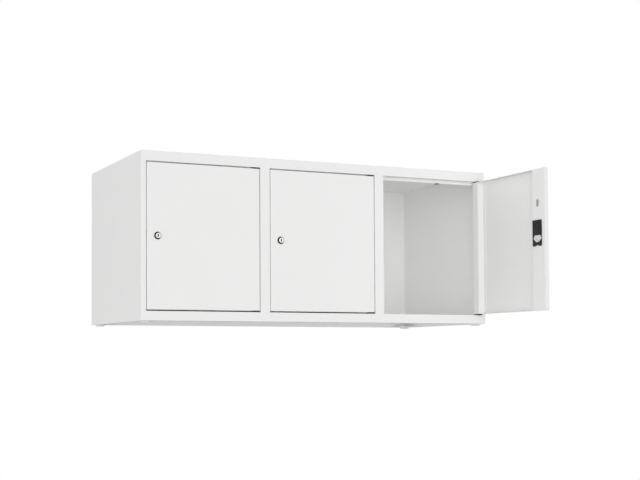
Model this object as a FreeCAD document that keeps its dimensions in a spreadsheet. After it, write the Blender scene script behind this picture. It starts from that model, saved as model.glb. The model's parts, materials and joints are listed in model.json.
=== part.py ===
# Locker top cabinet: a folded steel carcass with three compartments, three doors on pivots, and a lock in
# each door. Millimetres. X runs to the right, Y to the back and Z up. The origin is midway between the four
# feet, on the plane that they stand on. The right-hand door stands open and the other two are closed.

import FreeCAD
import Part
import Sketcher
import math
import os

doc = FreeCAD.newDocument("locker_top_cabinet")
sheet = doc.addObject("Spreadsheet::Sheet", "sizes")
subparts = []


# Driving dimensions

class Size:
    """A length that keeps its number together with the sheet formula that gives it."""

    def __init__(self, formula, number):
        self.formula = formula
        self.number = number

    def combined(self, sign, other, number):
        return Size("(" + self.formula + " " + sign + " " + size_of(other).formula + ")", number)

    def __add__(self, other):
        return self.combined("+", other, self.number + size_of(other).number)

    def __sub__(self, other):
        return self.combined("-", other, self.number - size_of(other).number)

    def __mul__(self, other):
        return self.combined("*", other, self.number * size_of(other).number)

    def __truediv__(self, other):
        return self.combined("/", other, self.number / size_of(other).number)

    def __neg__(self):
        return self * -1


def size_of(value):
    """A plain number as a Size, so that numbers and sheet cells mix freely."""
    return value if isinstance(value, Size) else Size("(" + repr(value) + ")", value)


def driving(alias, number, meaning):
    """Writes one row of the sheet, name, number and meaning, and gives the number back as a Size."""
    driving.row += 1
    row = str(driving.row)
    sheet.set("A" + row, alias)
    sheet.set("B" + row, str(number))
    sheet.set("C" + row, meaning)
    sheet.setAlias("B" + row, alias)
    return Size("sizes." + alias, number)


driving.row = 0

width = driving("width", 1200, "outside width of the carcass")
depth = driving("depth", 500, "outside depth of the carcass")
height = driving("height", 500, "height of the carcass without its feet")
pitch = driving("pitch", 400, "width of one compartment between boundary lines")
gauge = driving("gauge", 1, "thickness of the sheet steel")
bend_radius = driving("bend_radius", 1.5, "outside radius of a fold")
flange = driving("flange", 15, "width of a rear or divider flange")

stile = driving("stile", 16, "width of a side stile, and half that of a middle post")
top_rail = driving("top_rail", 30, "height of the top rail")
bottom_rail = driving("bottom_rail", 29, "height of the bottom rail")
return_depth = driving("return_depth", 22, "how far the returns of rails and stiles run back")
upturn = driving("upturn", 12, "height of the fold at the end of the top rail's return")
top_flange = driving("top_flange", 25, "how far the top rail's upper flange runs back")
stop_lip = driving("stop_lip", 10, "how far a door stop hangs below the top rail")
post_lip = driving("post_lip", 10, "width of the lips behind a post")
hem = driving("hem", 15, "width of the fold under the bottom rail")

foot_projection = driving("foot_projection", 5, "how far a foot stands out below the carcass")
foot_side = driving("foot_side", 24, "side of the square foot")
foot_across = driving("foot_across", 579, "from the middle of the carcass to a foot, along X")
foot_along = driving("foot_along", 222, "from the middle of the carcass to a foot, along Y")
foot_corner = driving("foot_corner", 4, "corner radius of a foot")
bolt_radius = driving("bolt_radius", 4.5, "radius of the fixing hole in foot and gusset")
gusset_width = driving("gusset_width", 60, "size of a corner gusset along X")
gusset_depth = driving("gusset_depth", 70, "size of a corner gusset along Y")
gusset_thickness = driving("gusset_thickness", 2, "thickness of a corner gusset")

door_gap = driving("door_gap", 2.5, "gap at each side of a door")
door_top_gap = driving("door_top_gap", 3, "gap above a door")
door_bottom_gap = driving("door_bottom_gap", 3.5, "gap below a door")
door_thickness = driving("door_thickness", 15, "depth of a door's returns")
door_edge = driving("door_edge", 2.8, "outside radius of the fold round a door")
door_corner = driving("door_corner", 3, "corner radius of a door")
open_angle = driving("open_angle", 91, "how far the right-hand door stands open, in degrees")
pivot_edge = driving("pivot_edge", 8, "from a door's hinge edge to its pivot axis")
pivot_front = driving("pivot_front", 8, "from a door's face to its pivot axis")
hinge_lip = driving("hinge_lip", 27, "width of the hinge-side stiffener's flat")
hinge_foot = driving("hinge_foot", 10, "width of the hinge-side stiffener's weld flange")
lock_lip = driving("lock_lip", 59, "width of the lock-side stiffener's flat")
lock_foot = driving("lock_foot", 8, "width of the lock-side stiffener's weld flange")
blank_height = driving("blank_height", 361.5, "height of the oblong hole in the lock-side stiffener")
blank_length = driving("blank_length", 23, "length of that hole")
blank_radius = driving("blank_radius", 6.2, "half the width of that hole")

pivot_air = driving("pivot_air", 0.2, "air between a pivot block and the rail")
pivot_long = driving("pivot_long", 17, "from the pivot axis to the long end of a pivot block")
pivot_inset = driving("pivot_inset", 0.3, "how far a pivot block lies behind the door's face")
pin_radius = driving("pin_radius", 4, "radius of a pivot pin")
pin_length = driving("pin_length", 7, "how far a pivot pin goes into its bush")
peg_radius = driving("peg_radius", 3, "radius of the peg that holds a pivot in the door")
peg_length = driving("peg_length", 3, "length of that peg")
bush_radius = driving("bush_radius", 6, "outside radius of a pivot bush")
bush_length = driving("bush_length", 9, "length of a pivot bush")
running_fit = driving("running_fit", 0.06, "radial clearance of a turning fit")
loose_fit = driving("loose_fit", 0.2, "radial clearance of a fixed fit")
air = driving("air", 0.5, "air between parts that pass each other")
overrun = driving("overrun", 2, "how far a cutting solid runs past the piece that it cuts")

lock_edge = driving("lock_edge", 33, "from a door's free edge to its lock axis")
lock_height = driving("lock_height", 250, "height of the lock axis")
bezel_radius = driving("bezel_radius", 11.6, "radius of the lock's bezel on the door")
bezel_face = driving("bezel_face", 7.8, "radius of the bezel's flat front")
bezel_height = driving("bezel_height", 5.4, "how far the bezel stands out of the door")
bezel_rim = driving("bezel_rim", 2.2, "height of the bezel's straight rim")
barrel_radius = driving("barrel_radius", 9, "radius of the lock's barrel")
plug_radius = driving("plug_radius", 7, "radius of the turning plug")
plug_inset = driving("plug_inset", 0.3, "how far the plug lies behind the bezel's front")
key_width = driving("key_width", 3.8, "width of the keyhole")
key_length = driving("key_length", 8, "height of the keyhole")
key_depth = driving("key_depth", 12, "depth of the keyhole")
nut_radius = driving("nut_radius", 13, "radius of the lock nut over its corners")
nut_thickness = driving("nut_thickness", 4, "thickness of the lock nut")
tail_radius = driving("tail_radius", 3.5, "radius of the plug's tail")
cam_depth = driving("cam_depth", 15.7, "from a door's face to the cam")
cam_thickness = driving("cam_thickness", 1.2, "thickness of the cam")
cam_hub = driving("cam_hub", 9, "radius of the cam's hub")
cam_reach = driving("cam_reach", 44, "from the lock axis to the cam's tip")
cam_half = driving("cam_half", 7, "half the width of the cam's arm")
strike_air = driving("strike_air", 0.4, "air round the cam in its slots")
strike_below = driving("strike_below", 9, "how far a strike slot runs below the lock axis")
strike_above = driving("strike_above", 32, "how far a strike slot runs above the lock axis")
case_half = driving("case_half", 20.5, "half the width of the lock case")
case_shift = driving("case_shift", 1, "from the lock axis to the middle of the lock case, to the hinge")
case_below = driving("case_below", 20.5, "how far the lock case runs below the lock axis")
case_above = driving("case_above", 59.5, "how far the lock case runs above the lock axis")
case_depth = driving("case_depth", 3, "how far the lock case stands out of the door")
case_wall = driving("case_wall", 0.7, "wall of the lock case")
case_floor = driving("case_floor", 0.3, "floor of the lock case, against the door")
case_slot = driving("case_slot", 46, "how far the cam's slot runs up the lock case")
case_edge = driving("case_edge", 0.8, "edge radius of the lock case")
notch_radius = driving("notch_radius", 18, "radius of the notch in the lock case's lower edge")
notch_depth = driving("notch_depth", 3, "depth of that notch")
retainer_shift = driving("retainer_shift", 3.5, "from the retainer's middle to the lock axis, along X")
retainer_half_top = driving("retainer_half_top", 12.5, "half the width of the retainer's upper edge")
retainer_half = driving("retainer_half", 18, "half the width of the retainer where it is widest")
retainer_half_low = driving("retainer_half_low", 6, "half the width of the retainer's lower edge")
retainer_top = driving("retainer_top", 11.9, "from the lock axis up to the retainer's upper edge")
retainer_middle = driving("retainer_middle", 2, "from the lock axis up to the retainer's widest place")
retainer_bottom = driving("retainer_bottom", 8.6, "from the lock axis down to the retainer's lower edge")
retainer_thickness = driving("retainer_thickness", 1.5, "thickness of the retainer")

buffer_width = driving("buffer_width", 12, "width of a door buffer")
buffer_shift = driving("buffer_shift", 30, "from the middle of a compartment to its buffer")
buffer_drop = driving("buffer_drop", 4, "how far a buffer hangs below the door stop")
buffer_grip = driving("buffer_grip", 8, "how far a buffer reaches up behind the door stop")
buffer_back = driving("buffer_back", 4, "how far a buffer stands out behind the door stop")
buffer_air = driving("buffer_air", 0.4, "air between a closed door and its buffer")
doc.recompute()

half_width = width / 2
front = depth / -2
back = depth / 2
return_end = front + return_depth
door_width = pitch - (stile + door_gap) * 2
door_low = bottom_rail + door_bottom_gap
door_high = height - top_rail - door_top_gap
door_free = pivot_edge - door_width
door_front = -pivot_front
door_back = door_thickness - pivot_front
lock_x = door_free + lock_edge


# Ways of making a piece

def bind(thing, prop, value):
    """Ties a property to its formula in the sheet."""
    thing.setExpression(prop, size_of(value).formula)


def put(thing, x, y, z):
    """Ties the three coordinates of a piece's place to the sheet."""
    bind(thing, "Placement.Base.x", x)
    bind(thing, "Placement.Base.y", y)
    bind(thing, "Placement.Base.z", z)


def block(name, low, high):
    """A plain block between two corners."""
    piece = doc.addObject("Part::Box", name)
    for prop, start, end in zip(("Length", "Width", "Height"), low, high):
        bind(piece, prop, size_of(end) - start)
    put(piece, *low)
    return piece


def rod(name, radius, start, length, along):
    """A round rod from a point, along Y to the back or along Z upwards."""
    piece = doc.addObject("Part::Cylinder", name)
    if along == "Y":
        piece.Placement.Rotation = FreeCAD.Rotation(FreeCAD.Vector(1, 0, 0), -90)
    bind(piece, "Radius", radius)
    bind(piece, "Height", length)
    put(piece, *start)
    return piece


def joined(name, pieces):
    """Several solids made into one."""
    piece = doc.addObject("Part::MultiFuse", name)
    piece.Shapes = pieces
    piece.Refine = True
    return piece


def cut(name, base, tools):
    """A solid with other solids taken out of it."""
    piece = doc.addObject("Part::Cut", name)
    piece.Base = base
    piece.Tool = tools[0] if len(tools) == 1 else joined(name + "_tools", tools)
    return piece


def rounded(name, base, radius, chosen):
    """A solid whose chosen edges are rounded, where chosen looks at an edge and says yes or no."""
    doc.recompute()
    piece = doc.addObject("Part::Fillet", name)
    piece.Base = base
    numbers = [n + 1 for n, edge in enumerate(base.Shape.Edges) if chosen(edge)]
    piece.Edges = [(n, radius.number, radius.number) for n in numbers]
    return piece


def oblong(name, radius, centre, half_up):
    """A round-ended slot along Y, three sheet thicknesses deep, standing along Z."""
    x, y, z = centre
    ends = []
    for sign in (-1, 1):
        place = (x, y, z + half_up * sign)
        ends.append(rod(name + "_end" + str(sign), radius, place, gauge * 3, "Y"))
    middle = block(name + "_middle", (x - radius, y, z - half_up), (x + radius, y + gauge * 3, z + half_up))
    return joined(name, ends + [middle])


def outline(body, name, plane, corners, start):
    """A closed sketch of straight lines on one of the body's planes, each corner tied to the sheet."""
    drawing = body.newObject("Sketcher::SketchObject", name)
    support = [feature for feature in body.Origin.OriginFeatures if feature.Role == plane]
    drawing.AttachmentSupport = (support[0], [""])
    drawing.MapMode = "FlatFace"
    bind(drawing, "AttachmentOffset.Base.z", start)
    count = len(corners)
    points = [FreeCAD.Vector(size_of(u).number, size_of(v).number, 0) for u, v in corners]
    for n in range(count):
        drawing.addGeometry(Part.LineSegment(points[n], points[(n + 1) % count]), False)
    for n in range(count):
        drawing.addConstraint(Sketcher.Constraint("Coincident", n, 2, (n + 1) % count, 1))
    for n, corner in enumerate(corners):
        for kind, value in zip(("DistanceX", "DistanceY"), corner):
            row = drawing.addConstraint(Sketcher.Constraint(kind, -1, 1, n, 1, size_of(value).number))
            bind(drawing, "Constraints[" + str(row) + "]", value)
    return drawing


def prism(name, plane, corners, start, run):
    """A body with a straight-sided section carried along its own normal. Gives the body and its pad."""
    body = doc.addObject("PartDesign::Body", name)
    drawing = outline(body, name + "_section", plane, corners, start)
    pad = body.newObject("PartDesign::Pad", name + "_pad")
    pad.Profile = drawing
    bind(pad, "Length", run)
    doc.recompute()
    return body, pad


def rounded_edges(body, name, feature, radius, chosen):
    """A fillet on the chosen edges of a body's feature."""
    doc.recompute()
    edges = ["Edge" + str(n + 1) for n, edge in enumerate(feature.Shape.Edges) if chosen(edge)]
    fillet = body.newObject("PartDesign::Fillet", name)
    fillet.Base = (feature, edges)
    bind(fillet, "Radius", radius)
    doc.recompute()
    return fillet


def folded(name, plane, path, start, run):
    """A folded sheet. The path goes along one face, and each point also says which way the other face lies,
    in sheet thicknesses. Every fold has a round outside, and a round inside of one sheet thickness less."""
    face = [(u, v) for u, v, across, up in path]
    other = [(size_of(u) + gauge * across, size_of(v) + gauge * up) for u, v, across, up in path]
    body, pad = prism(name, plane, face + other[::-1], start, run)
    outside = []
    inside = []
    points = [FreeCAD.Vector(size_of(u).number, size_of(v).number, 0) for u, v in face]
    for n in range(1, len(path) - 1):
        turn = (points[n + 1] - points[n]).normalize() - (points[n] - points[n - 1]).normalize()
        inwards = FreeCAD.Vector(path[n][2], path[n][3], 0)
        pair = (face[n], other[n]) if turn.dot(inwards) > 0 else (other[n], face[n])
        outside.append(pair[0])
        inside.append(pair[1])

    def on_fold(edge, corners):
        ends = [(v.X, v.Y) if plane == "XY_Plane" else (v.Y, v.Z) for v in edge.Vertexes]
        spots = [(size_of(u).number, size_of(v).number) for u, v in corners]
        return len(ends) == 2 and any(all(math.dist(end, spot) < 0.01 for end in ends) for spot in spots)

    round_out = rounded_edges(body, name + "_folds", pad, bend_radius, lambda edge: on_fold(edge, outside))
    rounded_edges(body, name + "_inside", round_out, bend_radius - gauge, lambda edge: on_fold(edge, inside))
    return body


def turned(name, corners, place):
    """A round piece: a section of radius and depth, spun about an axis along Y through a place."""
    body = doc.addObject("PartDesign::Body", name)
    drawing = outline(body, name + "_section", "XY_Plane", corners, place[2])
    bind(drawing, "AttachmentOffset.Base.x", place[0])
    bind(drawing, "AttachmentOffset.Base.y", place[1])
    spin = body.newObject("PartDesign::Revolution", name + "_spin")
    spin.Profile = drawing
    spin.ReferenceAxis = (drawing, ["V_Axis"])
    spin.Angle = 360
    return body


def keep(piece):
    """Adds a finished piece to the list of files to write."""
    subparts.append(piece)
    return piece


def in_carcass(piece):
    """Puts a piece that is drawn from the carcass's lower edge at its height above the floor."""
    put(piece, 0, 0, foot_projection)
    return keep(piece)


# Carcass

def lock_strike(name, edge, reach):
    """The space that the cam needs in a return: a slot across X, from an edge, at the height of the lock."""
    low = (edge, front + cam_depth - strike_air, lock_height - strike_below)
    high = (size_of(edge) + reach, front + cam_depth + cam_thickness + strike_air, lock_height + strike_above)
    return block(name, low, high)


def side_panel(name, side):
    """A side: rear flange, wall, front stile and return. Flange and stile stop at the two rails."""
    wall = half_width * side
    stile_edge = (half_width - stile) * side
    path = [
        ((half_width - flange) * side, back, 0, -1),
        (wall, back, -side, -1),
        (wall, front, -side, 1),
        (stile_edge, front, side, 1),
        (stile_edge, return_end, side, 0),
    ]
    sheet_body = folded(name + "_sheet", "XY_Plane", path, 0, height)
    reach = stile + overrun
    inner = half_width - gauge
    trim_x = inner - reach if side > 0 else -inner
    trims = []
    for end, low, high in (("top", height - top_rail, height + overrun), ("bottom", -overrun, bottom_rail)):
        first = (trim_x, front - overrun, low)
        trims.append(block(name + "_trim_" + end, first, (trim_x + reach, back + overrun, high)))
    if side < 0:
        trims.append(lock_strike(name + "_strike", stile_edge - gauge * 2, gauge * 3))
    return in_carcass(cut(name, sheet_body, trims))


def pivot_place(index):
    """The X of the pivot axis of a compartment, which is numbered -1, 0 and 1 from the left."""
    return pitch * (index + 0.5) - stile - door_gap - pivot_edge


def bush_holes(name, z):
    """The three holes for the pivot bushes through a rail, from a height upwards."""
    holes = []
    for n in (-1, 0, 1):
        place = (pivot_place(n), front + pivot_front, z)
        holes.append(rod(name + "_hole" + str(n), bush_radius, place, gauge * 3, "Z"))
    return holes


def top_panel():
    """The top: a flat sheet between the two sides, behind the front rail's upper flange."""
    edge = half_width - gauge
    roof = foot_projection + height
    keep(block("top_panel", (-edge, front + top_flange, roof - gauge), (edge, back, roof)))


def top_front_rail():
    """The top rail: upper flange, face, return and upturn, in one folded sheet, with the bush holes."""
    rail_edge = height - top_rail
    path = [
        (front + top_flange, height, 0, -1),
        (front, height, 1, -1),
        (front, rail_edge, 1, 1),
        (return_end, rail_edge, -1, 1),
        (return_end, rail_edge + upturn, -1, 0),
    ]
    body = folded("top_front_rail_sheet", "YZ_Plane", path, gauge - half_width, width - gauge * 2)
    in_carcass(cut("top_front_rail", body, bush_holes("top_front_rail", rail_edge - gauge)))


def top_rear_rail():
    """A strip under the rear edge of the top, behind the back."""
    edge = half_width - gauge
    roof = foot_projection + height
    keep(block("top_rear_rail", (-edge, back - gauge, roof - top_rail), (edge, back, roof - gauge)))


def bottom_panel():
    """The bottom: rear flange, shelf, front rail and hem, in one folded sheet."""
    path = [
        (back, 0, -1, 0),
        (back, bottom_rail, -1, -1),
        (front, bottom_rail, 1, -1),
        (front, 0, 1, 1),
        (front + hem, 0, 0, 1),
    ]
    body = folded("bottom_panel_sheet", "YZ_Plane", path, gauge - half_width, width - gauge * 2)
    in_carcass(cut("bottom_panel", body, bush_holes("bottom_panel", bottom_rail - gauge * 2)))


def back_panel():
    """The back: a flat sheet inside the rear flanges."""
    edge = half_width - bend_radius
    low = (-edge, back - gauge * 2, foot_projection + bottom_rail)
    keep(block("back_panel", low, (edge, back - gauge, foot_projection + height - gauge * 2)))


def divider(name, boundary):
    """A partition: a wall with a flange behind the post and another against the back."""
    left = boundary - gauge / 2
    right = left + flange
    rear = back - gauge * 2
    path = [(right, return_end, 0, 1), (left, return_end, 1, 1), (left, rear, 1, -1), (right, rear, 0, -1)]
    body = folded(name, "XY_Plane", path, bottom_rail, height - gauge - bottom_rail - loose_fit)
    in_carcass(body)


def post(name, boundary):
    """A middle post: a channel with two lips behind, and the strike slot for the door on its right."""
    left = boundary - stile
    right = boundary + stile
    path = [
        (left + post_lip, return_end, 0, -1),
        (left, return_end, 1, -1),
        (left, front, 1, 1),
        (right, front, -1, 1),
        (right, return_end, -1, -1),
        (right - post_lip, return_end, 0, -1),
    ]
    body = folded(name + "_sheet", "XY_Plane", path, bottom_rail, height - top_rail - bottom_rail)
    in_carcass(cut(name, body, [lock_strike(name + "_strike", right - gauge * 2, gauge * 3)]))


def door_stop(name, index):
    """A strip behind the top rail that the door closes against."""
    reach = pitch / 2 - stile - gauge
    middle = pitch * index
    rail_edge = foot_projection + height - top_rail
    low = (middle - reach, return_end, rail_edge - stop_lip)
    keep(block(name, low, (middle + reach, return_end + gauge, rail_edge + upturn - gauge)))


def door_buffer(name, index):
    """A rubber buffer hooked under a door stop: a pad in front of the strip's edge and a leg up behind it."""
    edge = height - top_rail - stop_lip
    x = pitch * index + buffer_shift - buffer_width / 2
    front_face = front + door_thickness + buffer_air
    low = (x, front_face, edge - buffer_drop)
    high = (x + buffer_width, return_end + gauge + buffer_back, edge + buffer_grip)
    relief = block(name + "_relief", (x - overrun, front_face - overrun, edge),
                   (x + buffer_width + overrun, return_end + gauge, edge + stop_lip))
    in_carcass(cut(name, block(name + "_block", low, high), [relief]))


def corner(name, side, end):
    """A gusset plate under the shelf and the foot below it, both with the fixing hole."""
    x = foot_across * side
    y = foot_along * end
    wall_x = (half_width - gauge) * side
    wall_y = back - gauge if end > 0 else front + bend_radius
    low_x = wall_x - gusset_width if side > 0 else wall_x
    low_y = wall_y - gusset_depth if end > 0 else wall_y
    plate = block("gusset_plate_" + name, (low_x, low_y, gauge),
                  (low_x + gusset_width, low_y + gusset_depth, gauge + gusset_thickness))
    hole = rod("gusset_hole_" + name, bolt_radius, (x, y, 0), gusset_thickness * 3, "Z")
    in_carcass(cut("corner_gusset_" + name, plate, [hole]))
    side_half = foot_side / 2
    pad = block("foot_block_" + name, (x - side_half, y - side_half, -foot_projection),
                (x + side_half, y + side_half, gauge))
    shaped = rounded("foot_shape_" + name, pad, foot_corner, lambda edge: edge.BoundBox.ZLength > 1)
    through = rod("foot_hole_" + name, bolt_radius, (x, y, foot_projection * -2), foot_projection * 3, "Z")
    in_carcass(cut("foot_" + name, shaped, [through]))


def pivot_bushes(name, low):
    """Three plastic rings pressed through a rail, one for each door."""
    bushes = []
    for n in (-1, 0, 1):
        place = (pivot_place(n), front + pivot_front, low)
        mark = name + str(n)
        ring = rod(mark + "_ring", bush_radius, place, bush_length, "Z")
        bore = rod(mark + "_bore", pin_radius + running_fit, place, bush_length, "Z")
        bushes.append(cut(mark + "_bush", ring, [bore]))
    group = doc.addObject("Part::Compound", name)
    group.Links = bushes
    in_carcass(group)


side_panel("left_side_panel", -1)
side_panel("right_side_panel", 1)
top_panel()
top_front_rail()
top_rear_rail()
bottom_panel()
back_panel()
divider("left_divider", pitch / -2)
divider("right_divider", pitch / 2)
post("left_post", pitch / -2)
post("right_post", pitch / 2)
for end_name, end_sign in (("front", -1), ("rear", 1)):
    for side_name, side_sign in (("left", -1), ("right", 1)):
        corner(end_name + "_" + side_name, side_sign, end_sign)
pivot_bushes("upper_pivot_bushes", height - top_rail)
pivot_bushes("lower_pivot_bushes", bottom_rail - bush_length)


# Doors, each drawn closed with its pivot axis at the origin

def hang(piece, index, angle):
    """Hangs a piece of a door on its pivot axis, turned by the door's angle."""
    piece.Placement.Rotation = FreeCAD.Rotation(FreeCAD.Vector(0, 0, 1), size_of(angle).number)
    if isinstance(angle, Size):
        bind(piece, "Placement.Rotation.Angle", angle)
    put(piece, pivot_place(index), front + pivot_front, foot_projection)
    return keep(piece)


def door_skin(name):
    """The outer tray: a block with round edges, hollowed from behind, with holes for lock and pivots."""
    corners = [
        (door_free, door_front),
        (pivot_edge, door_front),
        (pivot_edge, door_back),
        (door_free, door_back),
    ]
    body, pad = prism(name + "_tray", "XY_Plane", corners, door_low, door_high - door_low)

    def runs_back(edge):
        return edge.BoundBox.XLength < 0.01 and edge.BoundBox.ZLength < 0.01

    def on_face(edge):
        return edge.BoundBox.YMax < door_front.number + 0.01

    corners_round = rounded_edges(body, name + "_corners", pad, door_corner, runs_back)
    edges_round = rounded_edges(body, name + "_edges", corners_round, door_edge, on_face)
    open_face = [n + 1 for n, face in enumerate(edges_round.Shape.Faces)
                 if face.BoundBox.YMin > door_back.number - 0.01]
    hollow = body.newObject("PartDesign::Thickness", name + "_hollow")
    hollow.Base = (edges_round, ["Face" + str(n) for n in open_face])
    hollow.Reversed = True
    bind(hollow, "Value", gauge)
    place = (lock_x, door_front - gauge, lock_height)
    hole = rod(name + "_lock_hole", barrel_radius + loose_fit, place, gauge * 3, "Y")
    pegs = [rod(name + "_peg_" + end, peg_radius + loose_fit, (0, 0, z - gauge * 2), gauge * 4, "Z")
            for end, z in (("low", door_low), ("high", door_high))]
    return cut(name, body, [hole] + pegs)


def hinge_stiffener(name):
    """A folded strip inside the hinge edge: a flat, a slope back to the skin and a weld flange."""
    slope = math.tan(math.radians(22.5))
    seat = door_front + gauge * 2
    drop = door_thickness - gauge * 2
    bend = pivot_edge - hinge_lip
    path = [
        (pivot_edge - gauge, door_back, 0, -1),
        (bend, door_back, slope, -1),
        (bend - drop, seat, slope, -1),
        (bend - drop - hinge_foot, seat, 0, -1),
    ]
    length = door_high - door_low - door_corner * 2
    return folded(name, "XY_Plane", path, door_low + door_corner, length)


def lock_stiffener(name):
    """A folded strip inside the free edge, with the hole for the lock and an oblong hole above it."""
    seat = door_front + gauge * 2
    leg = door_free + lock_lip
    path = [
        (door_free + gauge, door_back, 0, -1),
        (leg, door_back, -1, -1),
        (leg, seat, -1, -1),
        (leg + lock_foot, seat, 0, -1),
    ]
    length = door_high - door_low - door_corner * 2
    body = folded(name + "_sheet", "XY_Plane", path, door_low + door_corner, length)
    deep = door_back - gauge * 2
    hole = rod(name + "_hole", barrel_radius + loose_fit, (lock_x, deep, lock_height), gauge * 3, "Y")
    half = blank_length / 2 - blank_radius
    blank = oblong(name + "_blank", blank_radius, (lock_x, deep, blank_height), half)
    return cut(name, body, [hole, blank])


def door_pivot(name, upper):
    """A black plastic pivot: a block on the door's edge, a pin into the rail's bush, a peg into the door."""
    if upper:
        low, high = door_high, height - top_rail - pivot_air
        pin_low, pin_high = door_high, height - top_rail + pin_length
        peg_low, peg_high = door_high - peg_length, door_high
    else:
        low, high = bottom_rail + pivot_air, door_low
        pin_low, pin_high = bottom_rail - pin_length, door_low
        peg_low, peg_high = door_low, door_low + peg_length
    bar = block(name + "_bar", (-pivot_long, door_front + pivot_inset, low), (pivot_edge, door_back, high))

    def swings_past_stile(edge):
        return edge.BoundBox.ZLength > 1 and edge.BoundBox.XMin > 0 and edge.BoundBox.YMax < 0

    soft = rounded(name + "_soft", bar, door_corner, swings_past_stile)
    pin = rod(name + "_pin", pin_radius, (0, 0, pin_low), pin_high - pin_low, "Z")
    peg = rod(name + "_peg", peg_radius, (0, 0, peg_low), peg_high - peg_low, "Z")
    return joined(name, [soft, pin, peg])


def lock_body(name):
    """The lock's fixed part: a conical bezel on the door's face and a barrel through the door."""
    bore = plug_radius + running_fit
    barrel_end = door_thickness + air
    section = [
        (bore, -bezel_height),
        (bezel_face, -bezel_height),
        (bezel_radius, -bezel_rim),
        (bezel_radius, 0),
        (barrel_radius, 0),
        (barrel_radius, barrel_end),
        (bore, barrel_end),
    ]
    return turned(name, section, (lock_x, door_front, lock_height))


def lock_nut(name):
    """A six-sided nut on the barrel, tight against the inside of the skin."""
    place = (lock_x, door_front + gauge, lock_height)
    blank = doc.addObject("Part::Prism", name + "_blank")
    blank.Polygon = 6
    blank.Placement.Rotation = FreeCAD.Rotation(FreeCAD.Vector(1, 0, 0), -90)
    bind(blank, "Circumradius", nut_radius)
    bind(blank, "Height", nut_thickness)
    put(blank, *place)
    return cut(name, blank, [rod(name + "_bore", barrel_radius, place, nut_thickness, "Y")])


def lock_case(name):
    """The black cover round the cam, with a hole for the barrel and the cam's slot on the free-edge side."""
    low_z = lock_height - case_below
    high_z = lock_height + case_above
    face = door_back + case_depth
    middle = lock_x + case_shift
    shell = block(name + "_shell", (middle - case_half, door_back, low_z), (middle + case_half, face, high_z))
    seat = door_back.number + 0.01
    soft = rounded(name + "_soft", shell, case_edge, lambda edge: edge.BoundBox.YMax > seat)
    inner_half = case_half - case_wall
    hollow = block(name + "_hollow", (middle - inner_half, door_back + case_floor, low_z + case_wall),
                   (middle + inner_half, face - case_wall, high_z - case_wall))
    cam_front = door_front + cam_depth - strike_air
    cam_back = door_front + cam_depth + cam_thickness + strike_air
    slot = block(name + "_slot", (middle - case_half - overrun, cam_front, lock_height - strike_below),
                 (lock_x, cam_back, lock_height + case_slot))
    barrel = rod(name + "_barrel_hole", barrel_radius + air, (lock_x, door_back - overrun, lock_height),
                 overrun + case_wall, "Y")
    tail = rod(name + "_tail_hole", tail_radius + air, (lock_x, door_back, lock_height), case_depth * 2, "Y")
    notch_at = (lock_x, door_back - overrun, low_z - notch_radius + notch_depth)
    notch = rod(name + "_notch", notch_radius, notch_at, case_depth * 2, "Y")
    return cut(name, soft, [hollow, slot, barrel, tail, notch])


def lock_retainer(name):
    """A six-sided plate on the lock case round the plug's tail, wide in the middle and narrow below."""
    rear = door_back + case_depth + retainer_thickness
    middle = lock_x - retainer_shift
    rows = [
        (retainer_half_top, lock_height + retainer_top),
        (retainer_half, lock_height + retainer_middle),
        (retainer_half_low, lock_height - retainer_bottom),
    ]
    corners = [(middle - half, z) for half, z in rows] + [(middle + half, z) for half, z in rows[::-1]]
    body, pad = prism(name + "_plate", "XZ_Plane", corners, -rear, retainer_thickness)
    start = (lock_x, rear - retainer_thickness * 2, lock_height)
    hole = rod(name + "_hole", tail_radius + air, start, retainer_thickness * 3, "Y")
    return cut(name, body, [hole])


def lock_plug(name):
    """The turning plug, with its keyhole in front and its tail through the lock case."""
    start = door_front - bezel_height + plug_inset
    barrel_end = door_front + door_thickness + air
    core = rod(name + "_core", plug_radius, (lock_x, start, lock_height), barrel_end - start, "Y")
    tail_end = door_back + case_depth + retainer_thickness + air
    tail = rod(name + "_tail", tail_radius, (lock_x, barrel_end, lock_height), tail_end - barrel_end, "Y")
    half_wide = key_width / 2
    half_high = key_length / 2
    keyhole = block(name + "_keyhole", (lock_x - half_wide, start - overrun, lock_height - half_high),
                    (lock_x + half_wide, start + key_depth, lock_height + half_high))
    return cut(name, joined(name + "_solid", [core, tail]), [keyhole])


def lock_cam(name):
    """The cam: a hub on the plug's tail and an arm, which points up when the door is unlocked."""
    y = door_front + cam_depth
    tip = lock_height + cam_reach - cam_half
    hub = rod(name + "_hub", cam_hub, (lock_x, y, lock_height), cam_thickness, "Y")
    end = rod(name + "_end", cam_half, (lock_x, y, tip), cam_thickness, "Y")
    arm = block(name + "_arm", (lock_x - cam_half, y, lock_height),
                (lock_x + cam_half, y + cam_thickness, tip))
    hole = rod(name + "_hole", tail_radius, (lock_x, y, lock_height), cam_thickness * 2, "Y")
    return cut(name, joined(name + "_solid", [hub, end, arm]), [hole])


for place, index, swing in (("left", -1, 0), ("middle", 0, 0), ("right", 1, open_angle)):
    door_stop("door_stop_" + place, index)
    door_buffer("door_buffer_" + place, index)
    door = "door_" + place
    lock = "lock_" + place
    hang(door_skin(door + "_skin"), index, swing)
    hang(hinge_stiffener(door + "_hinge_stiffener"), index, swing)
    hang(lock_stiffener(door + "_lock_stiffener"), index, swing)
    hang(door_pivot(door + "_upper_pivot", True), index, swing)
    hang(door_pivot(door + "_lower_pivot", False), index, swing)
    hang(lock_body(lock + "_body"), index, swing)
    hang(lock_nut(lock + "_nut"), index, swing)
    hang(lock_case(lock + "_case"), index, swing)
    hang(lock_retainer(lock + "_retainer"), index, swing)
    hang(lock_plug(lock + "_plug"), index, swing)
    hang(lock_cam(lock + "_cam"), index, swing)


# Test every object, then write one file for each sub-part

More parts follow.
